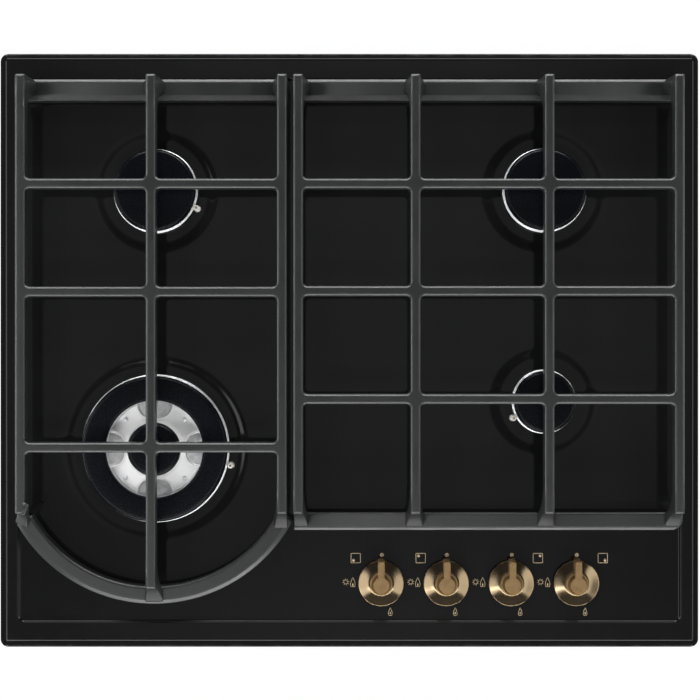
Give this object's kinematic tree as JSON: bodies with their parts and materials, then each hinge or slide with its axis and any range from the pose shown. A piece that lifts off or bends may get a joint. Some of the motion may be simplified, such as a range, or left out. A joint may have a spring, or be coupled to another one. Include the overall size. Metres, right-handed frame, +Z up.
{
  "type": "gas cooktop",
  "caption": "Built-in gas cooktop: black enamelled plate, cast-iron pan supports, one triple-crown and three plain burners, antique-brass knobs.",
  "frame": {"origin": "centre of the underside of the base tray, under the centre of the top plate", "axes": "+X to the right as the cook stands, +Y towards the rear, +Z up"},
  "size_m": [0.6, 0.51, 0.0934],
  "materials": {
    "enamel": "gloss black vitreous enamel",
    "cap_enamel": "satin black vitreous enamel",
    "cast_iron": "matt black enamel on a cast surface",
    "aluminium": "satin, die-cast",
    "antique_brass": "aged brass, brushed skirt and matt grip",
    "brass": "machined",
    "steel": "zinc-coated sheet",
    "ceramic": "glazed white",
    "rubber": "matt black",
    "foam": "closed-cell strip",
    "plastic": "moulded"
  },
  "bodies": {
    "hob": {"top_plate": "enamel", "rim_seal": "foam", "base_tray": "steel", "tap_rail": "steel", "gas_manifold": "steel", "gas_inlet": "brass", "ignition_module": "plastic", "cable_gland": "plastic", "front_left_burner_cup": "aluminium", "front_left_igniter": "ceramic", "front_left_knob_seal": "rubber", "front_left_tap_body": "brass", "front_left_supply_pipe": "aluminium", "rear_left_burner_cup": "aluminium", "rear_left_igniter": "ceramic", "rear_left_knob_seal": "rubber", "rear_left_tap_body": "brass", "rear_left_supply_pipe": "aluminium", "rear_right_burner_cup": "aluminium", "rear_right_igniter": "ceramic", "rear_right_knob_seal": "rubber", "rear_right_tap_body": "brass", "rear_right_supply_pipe": "aluminium", "front_right_burner_cup": "aluminium", "front_right_igniter": "ceramic", "front_right_knob_seal": "rubber", "front_right_tap_body": "brass", "front_right_supply_pipe": "aluminium"},
    "front_left_crown": {"front_left_crown": "aluminium"},
    "front_left_ring_cap": {"front_left_ring_cap": "cap_enamel"},
    "front_left_inner_cap": {"front_left_inner_cap": "cap_enamel"},
    "rear_left_crown": {"rear_left_crown": "aluminium"},
    "rear_left_cap": {"rear_left_cap": "cap_enamel"},
    "rear_right_crown": {"rear_right_crown": "aluminium"},
    "rear_right_cap": {"rear_right_cap": "cap_enamel"},
    "front_right_crown": {"front_right_crown": "aluminium"},
    "front_right_cap": {"front_right_cap": "cap_enamel"},
    "front_left_plug": {"front_left_tap_plug": "brass"},
    "front_left_knob": {"front_left_knob": "antique_brass", "front_left_tap_spindle": "steel"},
    "rear_left_plug": {"rear_left_tap_plug": "brass"},
    "rear_left_knob": {"rear_left_knob": "antique_brass", "rear_left_tap_spindle": "steel"},
    "rear_right_plug": {"rear_right_tap_plug": "brass"},
    "rear_right_knob": {"rear_right_knob": "antique_brass", "rear_right_tap_spindle": "steel"},
    "front_right_plug": {"front_right_tap_plug": "brass"},
    "front_right_knob": {"front_right_knob": "antique_brass", "front_right_tap_spindle": "steel"},
    "left_pan_support": {"left_pan_support": "cast_iron", "left_support_foot_rear_left": "rubber", "left_support_foot_rear_right": "rubber", "left_support_foot_front_left": "rubber", "left_support_foot_front_right": "rubber"},
    "right_pan_support": {"right_pan_support": "cast_iron", "right_support_foot_rear_left": "rubber", "right_support_foot_rear_right": "rubber", "right_support_foot_front_left": "rubber", "right_support_foot_front_right": "rubber"}
  },
  "joints": [
    {"name": "front_left_crown_lift", "type": "slide", "parent": "hob", "child": "front_left_crown", "axis": [0, 0, 1], "range_m": [0, 0.005]},
    {"name": "front_left_ring_cap_lift", "type": "slide", "parent": "front_left_crown", "child": "front_left_ring_cap", "axis": [0, 0, 1], "range_m": [0, 0.005]},
    {"name": "front_left_inner_cap_lift", "type": "slide", "parent": "front_left_crown", "child": "front_left_inner_cap", "axis": [0, 0, 1], "range_m": [0, 0.005]},
    {"name": "rear_left_crown_lift", "type": "slide", "parent": "hob", "child": "rear_left_crown", "axis": [0, 0, 1], "range_m": [0, 0.007]},
    {"name": "rear_left_cap_lift", "type": "slide", "parent": "rear_left_crown", "child": "rear_left_cap", "axis": [0, 0, 1], "range_m": [0, 0.008]},
    {"name": "rear_right_crown_lift", "type": "slide", "parent": "hob", "child": "rear_right_crown", "axis": [0, 0, 1], "range_m": [0, 0.007]},
    {"name": "rear_right_cap_lift", "type": "slide", "parent": "rear_right_crown", "child": "rear_right_cap", "axis": [0, 0, 1], "range_m": [0, 0.008]},
    {"name": "front_right_crown_lift", "type": "slide", "parent": "hob", "child": "front_right_crown", "axis": [0, 0, 1], "range_m": [0, 0.007]},
    {"name": "front_right_cap_lift", "type": "slide", "parent": "front_right_crown", "child": "front_right_cap", "axis": [0, 0, 1], "range_m": [0, 0.008]},
    {"name": "front_left_knob_turn", "type": "hinge", "parent": "hob", "child": "front_left_plug", "pos_m": [0.0272, -0.1996, 0.036], "axis": [0, 0, 1], "range_deg": [0, 200]},
    {"name": "front_left_knob_push", "type": "slide", "parent": "front_left_plug", "child": "front_left_knob", "axis": [0, 0, -1], "range_m": [0, 0.003], "stiffness_N_per_m": 800, "springref_m": -0.004},
    {"name": "rear_left_knob_turn", "type": "hinge", "parent": "hob", "child": "rear_left_plug", "pos_m": [0.083, -0.1996, 0.036], "axis": [0, 0, 1], "range_deg": [0, 200]},
    {"name": "rear_left_knob_push", "type": "slide", "parent": "rear_left_plug", "child": "rear_left_knob", "axis": [0, 0, -1], "range_m": [0, 0.003], "stiffness_N_per_m": 800, "springref_m": -0.004},
    {"name": "rear_right_knob_turn", "type": "hinge", "parent": "hob", "child": "rear_right_plug", "pos_m": [0.1388, -0.1996, 0.036], "axis": [0, 0, 1], "range_deg": [0, 200]},
    {"name": "rear_right_knob_push", "type": "slide", "parent": "rear_right_plug", "child": "rear_right_knob", "axis": [0, 0, -1], "range_m": [0, 0.003], "stiffness_N_per_m": 800, "springref_m": -0.004},
    {"name": "front_right_knob_turn", "type": "hinge", "parent": "hob", "child": "front_right_plug", "pos_m": [0.1946, -0.1996, 0.036], "axis": [0, 0, 1], "range_deg": [0, 200]},
    {"name": "front_right_knob_push", "type": "slide", "parent": "front_right_plug", "child": "front_right_knob", "axis": [0, 0, -1], "range_m": [0, 0.003], "stiffness_N_per_m": 800, "springref_m": -0.004},
    {"name": "left_pan_support_lift", "type": "slide", "parent": "hob", "child": "left_pan_support", "axis": [0, 0, 1], "range_m": [0, 0.06]},
    {"name": "right_pan_support_lift", "type": "slide", "parent": "hob", "child": "right_pan_support", "axis": [0, 0, 1], "range_m": [0, 0.06]}
  ]
}
